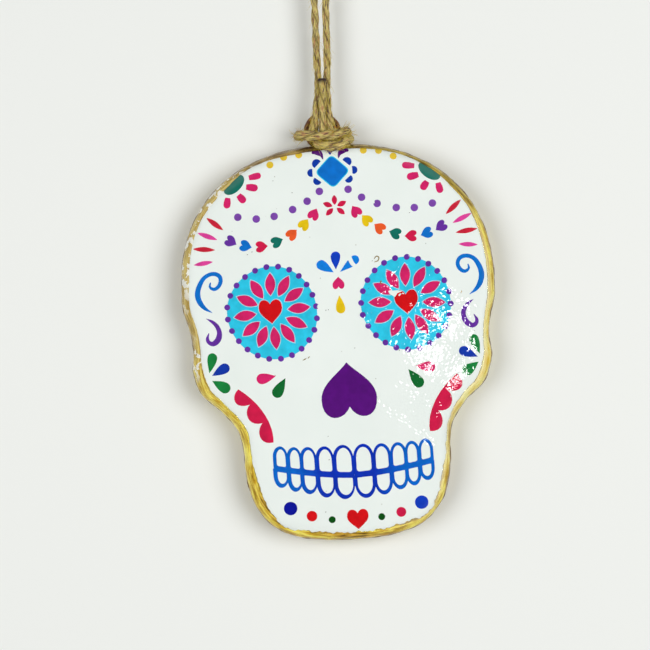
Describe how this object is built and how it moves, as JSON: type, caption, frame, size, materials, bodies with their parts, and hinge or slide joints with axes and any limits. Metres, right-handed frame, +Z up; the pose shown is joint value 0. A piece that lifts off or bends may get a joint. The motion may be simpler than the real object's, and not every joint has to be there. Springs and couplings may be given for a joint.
{
  "type": "hanging ornament",
  "caption": "Puffed pressed-tin skull with a printed sugar-skull face, a gilt rim, a wire ring on the crown and a knotted jute twine to hang it by.",
  "frame": {"origin": "inside top of the twine loop, where whatever holds the ornament passes through", "axes": "+Z up along the skull's height, the printed face looks along -Y, +X to the right seen from the front"},
  "size_m": [0.0954, 0.0132, 0.1801],
  "materials": {
    "gilt_tin": "gilt lacquer over pressed tin plate",
    "braze": "dull brazed seam",
    "ring_wire": "copper-brown steel wire",
    "white_lacquer": "white printed film under clear gloss lacquer",
    "ink_sky_blue": "printed ink under clear gloss lacquer",
    "ink_magenta": "printed ink under clear gloss lacquer",
    "ink_red": "printed ink under clear gloss lacquer",
    "ink_crimson": "printed ink under clear gloss lacquer",
    "ink_violet": "printed ink under clear gloss lacquer",
    "ink_royal_blue": "printed ink under clear gloss lacquer",
    "ink_green": "printed ink under clear gloss lacquer",
    "ink_yellow": "printed ink under clear gloss lacquer",
    "ink_orange": "printed ink under clear gloss lacquer",
    "ink_navy": "printed ink under clear gloss lacquer",
    "jute": "two-ply jute twine"
  },
  "bodies": {
    "twine_top": {"twine_loop": "jute"},
    "twine_middle": {"twine_leg_left": "jute", "twine_leg_right": "jute"},
    "skull": {"front_shell": "gilt_tin", "back_shell": "gilt_tin", "seam_braze": "braze", "ring_braze": "braze", "hanging_ring": "ring_wire", "white_face": "white_lacquer", "eye_disc_left": "ink_sky_blue", "eye_disc_right": "ink_sky_blue", "eye_petals_left": "ink_magenta", "eye_petals_right": "ink_magenta", "eye_heart_left": "ink_red", "eye_heart_right": "ink_red", "cheek_scallop_left": "ink_crimson", "cheek_scallop_right": "ink_crimson", "nose_heart": "ink_violet", "teeth_outline": "ink_royal_blue", "brow_diamond": "ink_royal_blue", "chin_heart": "ink_red", "twine_end_left": "jute", "twine_end_right": "jute"}
  },
  "joints": [
    {"name": "twist", "type": "hinge", "parent": "twine_top", "child": "twine_middle", "pos_m": [-0.0008, 0, -0.019], "axis": [0, 0, 1], "range_deg": [-180, 180], "stiffness_Nm_per_rad": 0.00004},
    {"name": "swing", "type": "hinge", "parent": "twine_middle", "child": "skull", "pos_m": [0, 0, -0.033], "axis": [1, 0, 0], "range_deg": [-90, 90]}
  ]
}
